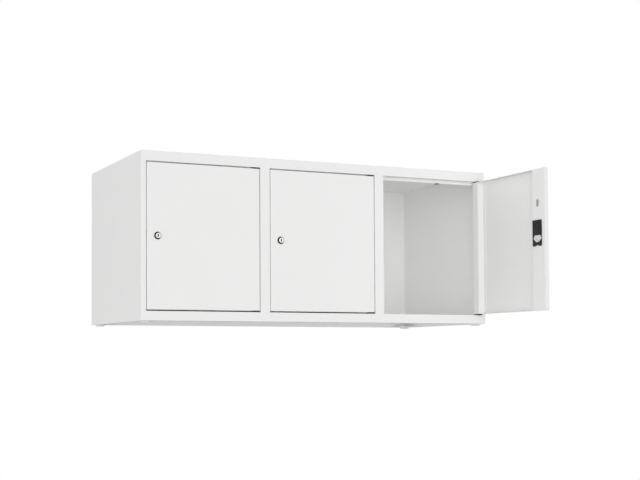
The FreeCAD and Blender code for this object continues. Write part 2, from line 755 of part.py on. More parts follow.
doc.recompute()
for thing in doc.Objects:
    if "Invalid" in thing.State or "Error" in thing.State:
        raise RuntimeError(thing.Label + " is not valid: " + ", ".join(thing.State))
for piece in subparts:
    if piece.Shape.isNull() or not piece.Shape.isValid() or not piece.Shape.Solids:
        raise RuntimeError(piece.Label + " has no valid solid")

os.makedirs("parts", exist_ok=True)
for piece in subparts:
    piece.Shape.exportStep("parts/" + piece.Label + ".step")
print(len(subparts), "sub-parts")
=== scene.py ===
# Locker top cabinet in white powder-coated steel: three compartments side by side, two doors closed and the
# right-hand one open. Metres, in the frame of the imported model: X to the right, Y to the back, Z up.
import json
import math

import bpy
import numpy as np
from mathutils import Matrix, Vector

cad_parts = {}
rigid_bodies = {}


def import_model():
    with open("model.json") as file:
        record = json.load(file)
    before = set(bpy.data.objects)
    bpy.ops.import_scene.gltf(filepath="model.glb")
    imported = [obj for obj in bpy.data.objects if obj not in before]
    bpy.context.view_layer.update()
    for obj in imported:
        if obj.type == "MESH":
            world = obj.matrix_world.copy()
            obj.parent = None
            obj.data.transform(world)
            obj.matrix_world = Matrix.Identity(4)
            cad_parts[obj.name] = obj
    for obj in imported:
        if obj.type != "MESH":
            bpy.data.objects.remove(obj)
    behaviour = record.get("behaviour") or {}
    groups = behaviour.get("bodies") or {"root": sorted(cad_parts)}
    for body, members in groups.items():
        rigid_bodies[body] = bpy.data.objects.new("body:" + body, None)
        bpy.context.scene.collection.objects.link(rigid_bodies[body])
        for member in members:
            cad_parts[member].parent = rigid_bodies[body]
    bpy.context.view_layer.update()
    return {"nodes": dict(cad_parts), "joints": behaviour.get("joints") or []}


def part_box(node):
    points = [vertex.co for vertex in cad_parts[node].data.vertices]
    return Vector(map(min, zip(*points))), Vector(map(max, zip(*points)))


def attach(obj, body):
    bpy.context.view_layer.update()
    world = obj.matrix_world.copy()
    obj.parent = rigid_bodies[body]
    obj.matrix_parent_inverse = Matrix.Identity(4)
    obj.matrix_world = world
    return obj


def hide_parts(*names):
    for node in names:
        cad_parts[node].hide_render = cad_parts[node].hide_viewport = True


for leftover in list(bpy.data.objects):
    bpy.data.objects.remove(leftover)
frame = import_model()
nodes = frame["nodes"]
joints = {joint["name"]: joint for joint in frame["joints"]}
doors = ("left", "middle", "right")


# Camera
# It stands to the left of the cabinet and a little below its underside, so that the underside shows.
# The lens shift carries part of the photograph's framing, and a small tilt carries the rest.
camera_place = (-1.7325, -3.5383, -0.1056)
camera_turn, camera_tilt, camera_roll = (math.radians(angle) for angle in (22.982, 1.992, -0.179))
camera = bpy.data.objects.new("camera", bpy.data.cameras.new("camera"))
camera.data.lens = 67.103
camera.data.shift_x, camera.data.shift_y = 0.15, 0.12
camera.matrix_world = (
    Matrix.Translation(camera_place)
    @ Matrix.Rotation(-camera_turn, 4, "Z")
    @ Matrix.Rotation(math.pi / 2 + camera_tilt, 4, "X")
    @ Matrix.Rotation(camera_roll, 4, "Z")
)
bpy.context.scene.collection.objects.link(camera)
bpy.context.scene.camera = camera
bpy.context.scene.view_settings.view_transform = "Standard"


# Studio light
# Two large soft lamps stand ahead of the cabinet and ahead of it to the left, with weaker light from the
# sides, behind and above. Polished metal sees a room that is bright ahead and to the right. The background is
# plain white, and the light may bounce often, because the white walls of a compartment light each other.
def place_node(tree, kind, sockets=None, **properties):
    """Adds a node, sets its properties, and sets or links its input sockets by name or number."""
    made = tree.nodes.new(kind)
    for name, value in properties.items():
        setattr(made, name, value)
    for name, value in (sockets or {}).items():
        if isinstance(value, bpy.types.NodeSocket):
            tree.links.new(value, made.inputs[name])
        else:
            made.inputs[name].default_value = value
    return made


def worked_out(tree, operation, *values, clamp=False):
    """The output of a math node for the given values."""
    sockets = dict(enumerate(values))
    return place_node(tree, "ShaderNodeMath", sockets, operation=operation, use_clamp=clamp).outputs[0]


def combined(tree, operation, first, second):
    """The outputs of a vector math node for two vectors."""
    return place_node(tree, "ShaderNodeVectorMath", {0: first, 1: second}, operation=operation).outputs


def room_light(tree, even, lamps):
    """Radiance in a direction d: even, plus strength * max(0, aim . d) ** spread for each lamp."""
    direction = place_node(tree, "ShaderNodeTexCoord").outputs["Generated"]
    total = even
    for strength, aim, spread in lamps:
        toward = combined(tree, "DOT_PRODUCT", direction, aim)["Value"]
        facing = worked_out(tree, "MAXIMUM", toward, 0.0)
        glow = worked_out(tree, "POWER", facing, spread)
        total = worked_out(tree, "MULTIPLY_ADD", glow, strength, total)
    return total


soft_even, mirrored_even, mirrored_limit = 0.08, 0.04, 1.35
soft_lamps = [
    (0.54, (-1, 0, 0), 1.0), (0.32, (1, 0, 0), 1.0), (0.22, (0, 0, 1), 1.0), (0.88, (0, 1, 0), 1.0),
    (1.47, (0, -1, 0), 8.0), (1.68, (-0.5, -0.866, 0), 8.0)]
mirrored_lamps = [(1.15, (0.35, -0.935, 0.06), 8.0), (3.0, (0.95, -0.296, 0.10), 8.0)]
world = bpy.data.worlds.new("white_room")
world.use_nodes = True
bpy.context.scene.world = world
bpy.context.scene.cycles.diffuse_bounces = 12
room = world.node_tree
room.nodes.clear()
ray = place_node(room, "ShaderNodeLightPath")
soft_light = room_light(room, soft_even, soft_lamps)
mirrored_light = worked_out(room, "MINIMUM", room_light(room, mirrored_even, mirrored_lamps), mirrored_limit)
white = place_node(room, "ShaderNodeBackground", {"Color": (1, 1, 1, 1), "Strength": 1.0})
soft = place_node(room, "ShaderNodeBackground", {"Color": (1, 1, 1, 1), "Strength": soft_light})
mirrored = place_node(room, "ShaderNodeBackground", {"Color": (1, 1, 1, 1), "Strength": mirrored_light})
lit = place_node(room, "ShaderNodeMixShader", {
    0: ray.outputs["Is Glossy Ray"], 1: soft.outputs[0], 2: mirrored.outputs[0]})
seen = place_node(room, "ShaderNodeMixShader", {
    0: ray.outputs["Is Camera Ray"], 1: lit.outputs[0], 2: white.outputs[0]})
place_node(room, "ShaderNodeOutputWorld", {"Surface": seen.outputs[0]})


# Floor
# A plain pale floor under the feet. From below it is clear, because the camera looks up past it, and it takes
# no part in lighting the cabinet, which the white room does.
floor_reach = 12.0
floor_drop = 0.0003
floor_mesh = bpy.data.meshes.new("floor")
floor_mesh.from_pydata(
    [(-floor_reach, -floor_reach, -floor_drop), (floor_reach, -floor_reach, -floor_drop),
     (floor_reach, floor_reach, -floor_drop), (-floor_reach, floor_reach, -floor_drop)], [], [(0, 1, 2, 3)])
floor = bpy.data.objects.new("floor", floor_mesh)
floor.visible_diffuse = floor.visible_glossy = floor.visible_transmission = floor.visible_shadow = False
bpy.context.scene.collection.objects.link(floor)
pale = bpy.data.materials.new("pale_floor")
pale.use_nodes = True
pale.node_tree.nodes.clear()
matt = place_node(pale.node_tree, "ShaderNodeBsdfDiffuse", {"Color": (0.70, 0.70, 0.70, 1)})
clear = place_node(pale.node_tree, "ShaderNodeBsdfTransparent")
below = place_node(pale.node_tree, "ShaderNodeNewGeometry").outputs["Backfacing"]
top_only = place_node(pale.node_tree, "ShaderNodeMixShader", {
    0: below, 1: matt.outputs[0], 2: clear.outputs[0]})
place_node(pale.node_tree, "ShaderNodeOutputMaterial", {"Surface": top_only.outputs[0]})
floor_mesh.materials.append(pale)


# Carcass sheets
# Folded 1 mm steel, welded and sprayed with white powder that is baked to a satin skin. The skin has a fine
# orange peel, the sheet behind it is very slightly wavy, and the powder is thinner along the folds.
def group_of(name, inputs, outputs):
    """An empty shader node group with named sockets. Gives the group and its inputs."""
    tree = bpy.data.node_groups.new(name, "ShaderNodeTree")
    for socket, kind in inputs.items():
        tree.interface.new_socket(socket, in_out="INPUT", socket_type="NodeSocket" + kind)
    for socket, kind in outputs.items():
        tree.interface.new_socket(socket, in_out="OUTPUT", socket_type="NodeSocket" + kind)
    return tree, place_node(tree, "NodeGroupInput").outputs


fold_wear, given = group_of(
    "fold_wear", {"Vector": "Vector", "Low": "Vector", "High": "Vector", "Width": "Float"}, {"Mask": "Float"})
to_low = combined(fold_wear, "SUBTRACT", given["Vector"], given["Low"])[0]
to_high = combined(fold_wear, "SUBTRACT", given["High"], given["Vector"])[0]
nearest = combined(fold_wear, "MINIMUM", to_low, to_high)[0]
gap_x, gap_y, gap_z = place_node(fold_wear, "ShaderNodeSeparateXYZ", {0: nearest}).outputs
smaller = worked_out(fold_wear, "MINIMUM", gap_x, gap_y)
larger = worked_out(fold_wear, "MAXIMUM", gap_x, gap_y)
to_fold = worked_out(fold_wear, "MAXIMUM", smaller, worked_out(fold_wear, "MINIMUM", larger, gap_z))
share = worked_out(fold_wear, "DIVIDE", to_fold, given["Width"])
place_node(fold_wear, "NodeGroupOutput", {"Mask": worked_out(fold_wear, "SUBTRACT", 1.0, share, clamp=True)})


def noise(tree, spot, scale, detail):
    """A noise between 0 and 1, with so many lumps to the metre and so many finer layers."""
    sockets = {"Vector": spot, "Scale": scale, "Detail": detail}
    return place_node(tree, "ShaderNodeTexNoise", sockets).outputs["Fac"]


def clouded(tree, lumps, depth):
    """A shade that varies with a noise, by half a depth to either side of 1."""
    return worked_out(tree, "MULTIPLY_ADD", lumps, depth, 1 - depth / 2)


def give_skin(tree, colour, shade, rough, relief):
    """Ends a group with a colour times a shade, a roughness, and a normal for a relief in metres."""
    tint = place_node(tree, "ShaderNodeVectorMath", {0: colour, "Scale": shade}, operation="SCALE")
    bump = place_node(tree, "ShaderNodeBump", {"Strength": 1.0, "Distance": 1.0, "Height": relief})
    place_node(tree, "NodeGroupOutput", {
        "Color": tint.outputs[0], "Roughness": rough, "Normal": bump.outputs[0]})


skin_outputs = {"Color": "Color", "Roughness": "Float", "Normal": "Vector"}
powder, given = group_of(
    "baked_powder", {"Vector": "Vector", "Paint": "Color", "Fold": "Float", "Peel": "Float", "Wave": "Float"},
    skin_outputs)
cloud_shade, fold_shade = 0.02, 0.02
least_rough, peel_rough, fold_rough = 0.36, 0.10, 0.06
peel = noise(powder, given["Vector"], scale=620.0, detail=2.0)
cloud = noise(powder, given["Vector"], scale=7.0, detail=3.0)
relief = worked_out(powder, "ADD", worked_out(powder, "MULTIPLY", peel, given["Peel"]),
                    worked_out(powder, "MULTIPLY", cloud, given["Wave"]))
shade = worked_out(powder, "SUBTRACT", clouded(powder, cloud, cloud_shade),
                   worked_out(powder, "MULTIPLY", given["Fold"], fold_shade))
rough = worked_out(powder, "ADD", worked_out(powder, "MULTIPLY_ADD", peel, peel_rough, least_rough),
                   worked_out(powder, "MULTIPLY", given["Fold"], fold_rough))
give_skin(powder, given["Paint"], shade, rough, relief)


def empty_material(name, place=(0, 0, 0), angle=0.0):
    """A material with only its coordinates yet, measured from a place and turned about Z by an angle."""
    made = bpy.data.materials.new(name)
    made.use_nodes = True
    made.node_tree.nodes.clear()
    spot = place_node(made.node_tree, "ShaderNodeTexCoord").outputs["Object"]
    turned_spot = place_node(made.node_tree, "ShaderNodeMapping", {
        "Vector": spot, "Location": place, "Rotation": (0, 0, angle)}, vector_type="TEXTURE")
    return made, made.node_tree, turned_spot.outputs[0]


def filled_group(tree, group, sockets):
    """The outputs of a node group placed in a material, with its inputs set or linked."""
    return place_node(tree, "ShaderNodeGroup", sockets, node_tree=group).outputs


def wear_skin(tree, skin, others):
    """Ends a material with a shader that takes its colour, roughness and normal from a skin, unless the other
    values give them."""
    shader = place_node(tree, "ShaderNodeBsdfPrincipled", {
        "Base Color": skin["Color"], "Roughness": skin["Roughness"], "Normal": skin["Normal"], **others})
    place_node(tree, "ShaderNodeOutputMaterial", {"Surface": shader.outputs[0]})


white_paint = (0.925, 0.925, 0.92, 1)


def powder_coat(name, low, high, place=(0, 0, 0), angle=0.0):
    """White powder coat for a sheet between two corners, measured from a place and turned by an angle."""
    paint, tree, spot = empty_material(name, place, angle)
    fold = filled_group(tree, fold_wear, {"Vector": spot, "Low": low, "High": high, "Width": 0.003})
    coat = filled_group(tree, powder, {
        "Vector": spot, "Paint": white_paint, "Fold": fold["Mask"], "Peel": 0.000006, "Wave": 0.00025})
    wear_skin(tree, coat, {"Specular IOR Level": 0.35})
    return paint


def finish_node(name, material):
    """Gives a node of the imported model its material."""
    nodes[name].data.materials.clear()
    nodes[name].data.materials.append(material)


corners = [end + "_" + hand for end in ("front", "rear") for hand in ("left", "right")]
shell_low, shell_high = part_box("left_side_panel")[0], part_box("right_side_panel")[1]
shell_paint = powder_coat("shell_paint", shell_low, shell_high)
for sheet_name in ("left_side_panel", "right_side_panel", "top_panel", "top_front_rail", "top_rear_rail",
                   "bottom_panel"):
    finish_node(sheet_name, shell_paint)
inner_sheets = ["back_panel", "left_divider", "right_divider", "left_post", "right_post"]
inner_sheets += ["door_stop_" + hand for hand in doors] + ["corner_gusset_" + corner for corner in corners]
for sheet_name in inner_sheets:
    finish_node(sheet_name, powder_coat(sheet_name + "_paint", *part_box(sheet_name)))


# Dressed welds
# Where a stile or a post meets a rail, the hollow beside the rail's fold is filled with weld, ground flush
# with the frame and painted with it, so that no seam shows from the front.
fold_radius = 0.0015


def piece_of(name, grids, around, material):
    """A piece made of grids of points, rows by columns. Columns close on themselves. Rows close too when
    around is true, and otherwise one face caps the first row and one the last. A grid whose faces look
    inwards, which shows as a volume below zero about its middle, is turned round."""
    points = []
    faces = []
    for grid in grids:
        rows, columns = grid.shape[:2]
        number = np.arange(rows * columns).reshape(rows, columns)
        here = number if around else number[:-1]
        ahead = np.roll(number, -1, 0) if around else number[1:]
        quads = np.stack([here, np.roll(here, -1, 1), np.roll(ahead, -1, 1), ahead], axis=-1).reshape(-1, 4)
        a, b, c, d = (grid.reshape(-1, 3) - grid.mean((0, 1)))[quads.T]
        volume = (a * np.cross(b, c)).sum() + (a * np.cross(c, d)).sum()
        start = sum(len(block) for block in points)
        step = 1 if volume > 0 else -1
        faces += (start + quads[:, ::step]).tolist()
        if not around:
            faces += [(start + cap[::step]).tolist() for cap in (number[0, ::-1], number[-1])]
        points.append(grid.reshape(-1, 3))
    mesh = bpy.data.meshes.new(name)
    mesh.from_pydata(np.concatenate(points).tolist(), [], faces)
    mesh.shade_smooth()
    mesh.set_sharp_from_angle(angle=math.radians(40))
    mesh.materials.append(material)
    piece = bpy.data.objects.new(name, mesh)
    bpy.context.scene.collection.objects.link(piece)
    return piece


def lengthwise(y, z, x_low, x_high):
    """A closed section in Y and Z, carried along X from a low place to a high one."""
    return np.stack([np.column_stack([np.full(len(y), x), y, z]) for x in (x_low, x_high)])


def weld_fill(x_low, x_high, edge, up):
    """The hollow between a square end at a height and the rail's round fold beyond it: the corner where the
    two faces would meet, then the quarter circle of the fold."""
    turn = np.linspace(math.pi, math.pi * 1.5, num=7)
    front = shell_low[1]
    y = np.append(front, front + fold_radius * (1 + np.cos(turn)))
    z = np.append(edge, edge + up * fold_radius * (1 + np.sin(turn)))
    return lengthwise(y, z, x_low, x_high)


post_low, post_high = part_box("left_post")
stile_width = (post_high[0] - post_low[0]) / 2
weld_spans = [(shell_low[0] + fold_radius, shell_low[0] + stile_width - fold_radius),
              (shell_high[0] - stile_width + fold_radius, shell_high[0] - fold_radius)]
for post_name in ("left_post", "right_post"):
    low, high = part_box(post_name)
    weld_spans.append((low[0] + fold_radius, high[0] - fold_radius))
weld_grids = [weld_fill(*span, edge, up) for span in weld_spans
              for edge, up in ((post_high[2], 1), (post_low[2], -1))]
dressed_welds = piece_of("dressed_welds", weld_grids, False, shell_paint)
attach(dressed_welds, "carcass")


# Spot welds of the carcass
# The sheets are spot welded before they are painted. Each weld leaves a shallow dish with a low rim, which
# shows through the powder along the rear flanges and down the back, where the dividers are fixed.
def weld_marks(centres, across, up):
    """Round marks on a face, spanned by two directions at right angles. The section of radius and height goes
    from the dish over the rim and back under the sheet, and turns about the normal, which is across x up."""
    millimetre = 0.001
    radius = np.array([0.2, 1.5, 2.0, 2.4, 3.0, 2.6, 0.2])[:, None, None] * millimetre
    height = np.array([0.02, 0.02, 0.10, 0.12, 0.0, -0.2, -0.2])[:, None, None] * millimetre
    turn = np.linspace(0, math.tau, num=16, endpoint=False)[None, :, None]
    across, up = np.array(across, float), np.array(up, float)
    mark = radius * (np.cos(turn) * across + np.sin(turn) * up) + height * np.cross(across, up)
    return [mark + np.array(centre) for centre in centres]


def spread(low, high, count):
    """Evenly spaced places between two ends, which are left free by half a space."""
    step = (high - low) / count
    return low + step * (np.arange(count) + 0.5)


side_inset, top_inset, bottom_inset, divider_inset = 0.0085, 0.021, 0.014, 0.007
row_end, column_end, divider_low_end = 0.03, 0.04, 0.05
row_count, column_count = 11, 6
rear, back_face = shell_high[1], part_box("back_panel")[1][1]
rear_places = [(side * (shell_high[0] - side_inset), rear, z) for side in (-1, 1)
               for z in spread(shell_low[2] + column_end, shell_high[2] - column_end, column_count)]
rear_places += [(x, rear, z) for z in (shell_high[2] - top_inset, shell_low[2] + bottom_inset)
                for x in spread(shell_low[0] + row_end, shell_high[0] - row_end, row_count)]
rear_places += [(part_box(divider)[1][0] - divider_inset, back_face, z)
                for divider in ("left_divider", "right_divider")
                for z in spread(shell_low[2] + divider_low_end, shell_high[2] - column_end, column_count)]
rear_welds = piece_of("rear_spot_welds", weld_marks(rear_places, (-1, 0, 0), (0, 0, 1)), False, shell_paint)
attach(rear_welds, "carcass")


# Feet
# Small square pads of light grey plastic under the corners, moulded with soft edges and sunk round the fixing
# hole, which goes on through the corner gusset.
moulded, given = group_of(
    "moulded_grain", {"Vector": "Vector", "Paint": "Color", "Gloss": "Float", "Grain": "Float"}, skin_outputs)
flow_shade, spark_rough = 0.24, 0.16
spark = noise(moulded, given["Vector"], scale=1900.0, detail=2.0)
flow = noise(moulded, given["Vector"], scale=45.0, detail=2.0)
relief = worked_out(moulded, "MULTIPLY", spark, given["Grain"])
rough = worked_out(moulded, "MULTIPLY_ADD", spark, spark_rough, given["Gloss"])
give_skin(moulded, given["Paint"], clouded(moulded, flow, flow_shade), rough, relief)


def moulded_plastic(name, colour, gloss, grain, specular):
    """Moulded plastic or rubber: a colour with faint flow marks, and a grained skin."""
    made, tree, spot = empty_material(name)
    skin = filled_group(tree, moulded, {
        "Vector": spot, "Paint": (*colour, 1), "Gloss": gloss, "Grain": grain})
    wear_skin(tree, skin, {"Specular IOR Level": specular})
    return made


def eased(outline, ease, steps=6):
    """A closed outline with eased corners. At each corner a parabola runs from short of the corner, by its
    ease, to as far past it: (1 - s)^2 before + 2 s (1 - s) corner + s^2 after, for s from 0 to 1."""
    outline = np.array(outline, float)
    ease = np.array(ease, float)[:, None]
    to_last = np.roll(outline, 1, 0) - outline
    to_next = np.roll(outline, -1, 0) - outline
    before = outline + to_last / np.linalg.norm(to_last, axis=1, keepdims=True) * ease
    after = outline + to_next / np.linalg.norm(to_next, axis=1, keepdims=True) * ease
    s = np.linspace(0, 1, steps)[None, :, None]
    curve = (1 - s) ** 2 * before[:, None] + 2 * s * (1 - s) * outline[:, None] + s ** 2 * after[:, None]
    return curve.reshape(-1, 2)


def foot_grid(low, high):
    """A section of radius and height, carried round the fixing hole. Near the hole it is round, and it
    spreads outwards to a square with round corners, half / (|cos|^n + |sin|^n)^(1/n)."""
    half = (high[0] - low[0]) / 2
    hole, sink = 0.0045, 0.0085
    sink_top, top = 0.0012, high[2] - low[2]
    section = eased(
        [(hole, sink_top), (sink, sink_top), (sink, 0), (half, 0), (half, top), (hole, top)],
        [0.0002, 0.0002, 0.0004, 0.0010, 0.0004, 0.0002])
    turn = np.linspace(0, math.tau, num=96, endpoint=False)
    squareness = 6.6
    square = (np.abs(np.cos(turn)) ** squareness + np.abs(np.sin(turn)) ** squareness) ** (-1 / squareness)
    radius, height = section[:, :1], section[:, 1:]
    outer = np.clip((radius - sink) / (half - sink), 0, 1)
    reach = radius * (1 + outer * (square - 1))
    middle_x, middle_y = (low[0] + high[0]) / 2, (low[1] + high[1]) / 2
    return np.stack([middle_x + reach * np.cos(turn), middle_y + reach * np.sin(turn),
                     low[2] + height + 0 * reach], axis=-1)


foot_plastic = moulded_plastic(
    "foot_plastic", (0.90, 0.90, 0.89), gloss=0.42, grain=0.00001, specular=0.4)
for corner in corners:
    foot = piece_of("moulded_foot_" + corner, [foot_grid(*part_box("foot_" + corner))], True, foot_plastic)
    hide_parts("foot_" + corner)
    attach(foot, "carcass")


# Pivot bushes
# Plain rings of black plastic, pressed into the holes of the upper and the lower rail. Each takes the pin of
# a door, which turns in it.
bush_plastic = moulded_plastic(
    "bush_plastic", (0.03, 0.03, 0.03), gloss=0.42, grain=0.000006, specular=0.3)
for bushes in ("upper_pivot_bushes", "lower_pivot_bushes"):
    finish_node(bushes, bush_plastic)


# Door buffers
# Dark grey rubber, moulded in the shape of a J and hooked under the lower edge of each door stop, so that the
# closing door meets rubber.
def buffer_grid(box, strip):
    """The J as a closed section in Y and Z with eased corners, carried along X. At both ends it draws in
    along its own normal on a quarter circle, which rounds the end faces off."""
    (x_low, front, bottom), (x_high, back, top) = box
    behind, edge = strip[1][1], strip[0][2]
    section = eased(
        [(front, bottom), (back, bottom), (back, top), (behind, top), (behind, edge), (front, edge)],
        [0.0016, 0.0028, 0.0012, 0.0008, 0.0002, 0.0016])
    tangent = np.roll(section, -1, 0) - np.roll(section, 1, 0)
    tangent = tangent / np.linalg.norm(tangent, axis=1, keepdims=True)
    inward = np.stack([-tangent[:, 1], tangent[:, 0]], axis=1)
    soft_end = 0.0009
    quarter = np.linspace(0, math.pi / 2, num=5)
    draw_in = soft_end * (1 - np.sin(quarter))
    from_end = soft_end * (1 - np.cos(quarter))
    stations = np.concatenate([x_low + from_end, x_high - from_end[::-1]])
    insets = np.concatenate([draw_in, draw_in[::-1]])
    outline = section + insets[:, None, None] * inward
    return np.concatenate([stations[:, None, None] + 0 * outline[..., :1], outline], axis=-1)


buffer_rubber = moulded_plastic(
    "buffer_rubber", (0.24, 0.24, 0.24), gloss=0.58, grain=0.000012, specular=0.3)
for hand in doors:
    grid = buffer_grid(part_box("door_buffer_" + hand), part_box("door_stop_" + hand))
    rubber = piece_of("rubber_buffer_" + hand, [grid], False, buffer_rubber)
    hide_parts("door_buffer_" + hand)
    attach(rubber, "carcass")


# Doors
# Each is a shallow folded tray with two folded stiffeners spot welded inside it, one at the hinge edge and
# one at the lock edge, all sprayed with the same white powder as the carcass.
pivot = {hand: np.array(joints["door_" + hand + "_swing"]["pos_m"]) for hand in doors}
opening = {hand: -math.radians(joints["door_" + hand + "_swing"]["range_deg"][0]) for hand in doors}
door_low, door_high = (np.array(corner) - pivot["middle"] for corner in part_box("door_middle_skin"))
sheet = 0.001
hinge_weld_inset, lock_weld_inset = 0.045, 0.0635
weld_low_end, weld_high_end, weld_count = 0.02, 0.03, 7


def hung(grids, hand):
    """Carries points of a closed door, measured from its pivot axis, to where that door hangs: turned about
    Z by the door's opening, then moved to the pivot."""
    c, s = math.cos(opening[hand]), math.sin(opening[hand])
    return [grid @ np.array([[c, s, 0], [-s, c, 0], [0, 0, 1]]) + pivot[hand] for grid in grids]


inside_face = door_low[1] + 2 * sheet
door_places = [(x, inside_face, z) for x in (door_high[0] - hinge_weld_inset, door_low[0] + lock_weld_inset)
               for z in spread(door_low[2] + weld_low_end, door_high[2] - weld_high_end, weld_count)]
door_marks = weld_marks(door_places, (-1, 0, 0), (0, 0, 1))
door_paint = {}
for hand in doors:
    door = "door_" + hand
    door_paint[hand] = powder_coat(door + "_paint", door_low, door_high, pivot[hand], opening[hand])
    for piece_name in ("skin", "hinge_stiffener", "lock_stiffener"):
        finish_node(door + "_" + piece_name, door_paint[hand])
    marks = piece_of(door + "_spot_welds", hung(door_marks, hand), False, door_paint[hand])
    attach(marks, door)


# Stiffener end welds
# Each stiffener stops short of the tray's round corners. Weld, ground flush and painted with the door, closes
# its ends against the returns.
hinge_flat, hinge_foot = 0.027, 0.010
lock_flat, lock_foot = 0.059, 0.008
side_wall = 0.0024
tray_back, seat = door_high[1], inside_face
bend = door_high[0] - hinge_flat
slope_end = bend - (tray_back - seat)
half_bend = math.radians(22.5)
mitre = sheet * math.tan(half_bend)
hinge_section = [
    (door_high[0] - side_wall, tray_back), (bend, tray_back), (slope_end, seat),
    (slope_end - hinge_foot, seat), (slope_end - hinge_foot, seat - sheet), (slope_end + mitre, seat - sheet),
    (bend + mitre, tray_back - sheet), (door_high[0] - side_wall, tray_back - sheet)]
leg = door_low[0] + lock_flat
lock_section = [
    (door_low[0] + side_wall, tray_back), (leg, tray_back), (leg, seat), (leg + lock_foot, seat),
    (leg + lock_foot, seat - sheet), (leg - sheet, seat - sheet), (leg - sheet, tray_back - sheet),
    (door_low[0] + side_wall, tray_back - sheet)]


def upright(section, low, high):
    """A closed section in X and Y, carried up from a low height to a high one."""
    return np.stack([np.column_stack([section, np.full(len(section), height)]) for height in (low, high)])


strip_low, strip_high = (corner[2] - pivot["middle"][2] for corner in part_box("door_middle_hinge_stiffener"))
end_grids = [upright(section, low, high) for section in (hinge_section, lock_section)
             for low, high in ((door_low[2] + sheet, strip_low), (strip_high, door_high[2] - sheet))]
for hand in doors:
    end_welds = piece_of("door_" + hand + "_end_welds", hung(end_grids, hand), False, door_paint[hand])
    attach(end_welds, "door_" + hand)


# Blanking caps
# Above each lock the stiffener has an oblong hole for another lock. A shallow pressed cap, welded behind it
# and painted with the door, closes it.
lock_axis = np.array(joints["lock_middle_turn"]["pos_m"]) - pivot["middle"]
hole_rise = 0.1115
cap_reach, cap_width, cap_height = 0.016, 0.012, 0.036
cap_depth, cap_sheet = 0.010, 0.0006
cap_seat = tray_back - sheet
cap_floor = cap_seat - cap_depth
cap_outside = cap_width + cap_sheet
cap_face = [
    (-cap_reach, cap_seat), (-cap_width, cap_seat), (-cap_width, cap_floor),
    (cap_width, cap_floor), (cap_width, cap_seat), (cap_reach, cap_seat)]
cap_back = [
    (cap_reach, cap_seat - cap_sheet), (cap_outside, cap_seat - cap_sheet),
    (cap_outside, cap_floor - cap_sheet), (-cap_outside, cap_floor - cap_sheet),
    (-cap_outside, cap_seat - cap_sheet), (-cap_reach, cap_seat - cap_sheet)]
cap_section = np.array(cap_face + cap_back) + (lock_axis[0], 0)
cap_middle = lock_axis[2] + hole_rise
cap_grid = upright(cap_section, cap_middle - cap_height / 2, cap_middle + cap_height / 2)
for hand in doors:
    cap = piece_of("door_" + hand + "_blanking_cap", hung([cap_grid], hand), False, door_paint[hand])
    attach(cap, "door_" + hand)


# Door pivots
# Mouldings in black plastic, one on the upper and one on the lower edge of each door: a block that fills
# most of the gap between door and rail, a lip that hugs the door's round fold, a pin that turns in the rail's
# bush, and a peg pressed into the door's edge.
pin_radius, pin_length = 0.004, 0.007
peg_radius, peg_length = 0.003, 0.003
block_air = 0.0002
swing_ease = 0.0036
door_fold, lip_drop = 0.0028, 0.0012


def pivot_grid(bar, inner, outer, up):
    """A stack of outlines about the pivot axis, from the peg to the pin. The peg and the pin are circles, and
    the block between the heights inner and outer is an eased rectangle, rounder at the corner that swings
    past the stile. Every outline has its points at the same angles round the axis. The stack runs up or
    down."""
    (x_low, y_low), (x_high, y_high) = bar
    outline = eased([(x_low, y_low), (x_high, y_low), (x_high, y_high), (x_low, y_high)],
                    [0.0008, swing_ease, 0.0008, 0.0008])
    ring = outline / np.linalg.norm(outline, axis=1, keepdims=True)
    middle = np.array([(x_low + x_high) / 2, (y_low + y_high) / 2])
    soft, tip = 0.0004, 0.0006
    smaller = middle + (outline - middle) * (1 - 2 * soft / (np.array(bar[1]) - bar[0]))
    peg_end, pin_end = inner - up * peg_length, outer + up * (pin_length + block_air)
    stack = [
        (ring * (peg_radius - tip), peg_end), (ring * peg_radius, peg_end + up * tip),
        (ring * peg_radius, inner), (smaller, inner), (outline, inner + up * soft),
        (outline, outer - up * soft), (smaller, outer), (ring * pin_radius, outer),
        (ring * pin_radius, pin_end - up * tip), (ring * (pin_radius - tip), pin_end)]
    return np.stack([np.column_stack([rows, np.full(len(rows), height)]) for rows, height in stack])


def lip_grid(x_low, x_high, edge, up):
    """The hollow between the block and the door's round fold below it: the arc of the fold from the lip's
    drop to the door's edge, and the corner above the arc's start."""
    turn = np.linspace(math.asin(1 - lip_drop / door_fold), math.pi / 2, num=7)
    y = door_low[1] + door_fold * (1 - np.cos(turn))
    z = edge - up * door_fold * (1 - np.sin(turn))
    return lengthwise(np.append(y, y[0]), np.append(z, edge), x_low, x_high)


pivot_plastic = moulded_plastic(
    "pivot_plastic", (0.03, 0.03, 0.03), gloss=0.42, grain=0.000006, specular=0.3)
for hand in doors:
    for end, up in (("upper", 1), ("lower", -1)):
        node = "door_" + hand + "_" + end + "_pivot"
        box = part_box("door_middle_" + end + "_pivot")
        block_low, block_high = (np.array(corner) - pivot["middle"] for corner in box)
        edge = door_high[2] if up > 0 else door_low[2]
        tip_height = block_high[2] if up > 0 else block_low[2]
        block_end = tip_height - up * (pin_length + block_air)
        grid = pivot_grid((block_low[:2], block_high[:2]), edge, block_end, up)
        lip = lip_grid(block_low[0], block_high[0] - swing_ease, edge, up)
        moulding = piece_of(
            "moulded_pivot_" + hand + "_" + end, hung([grid, lip], hand), False, pivot_plastic)
        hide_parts(node)
        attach(moulding, "door_" + hand)


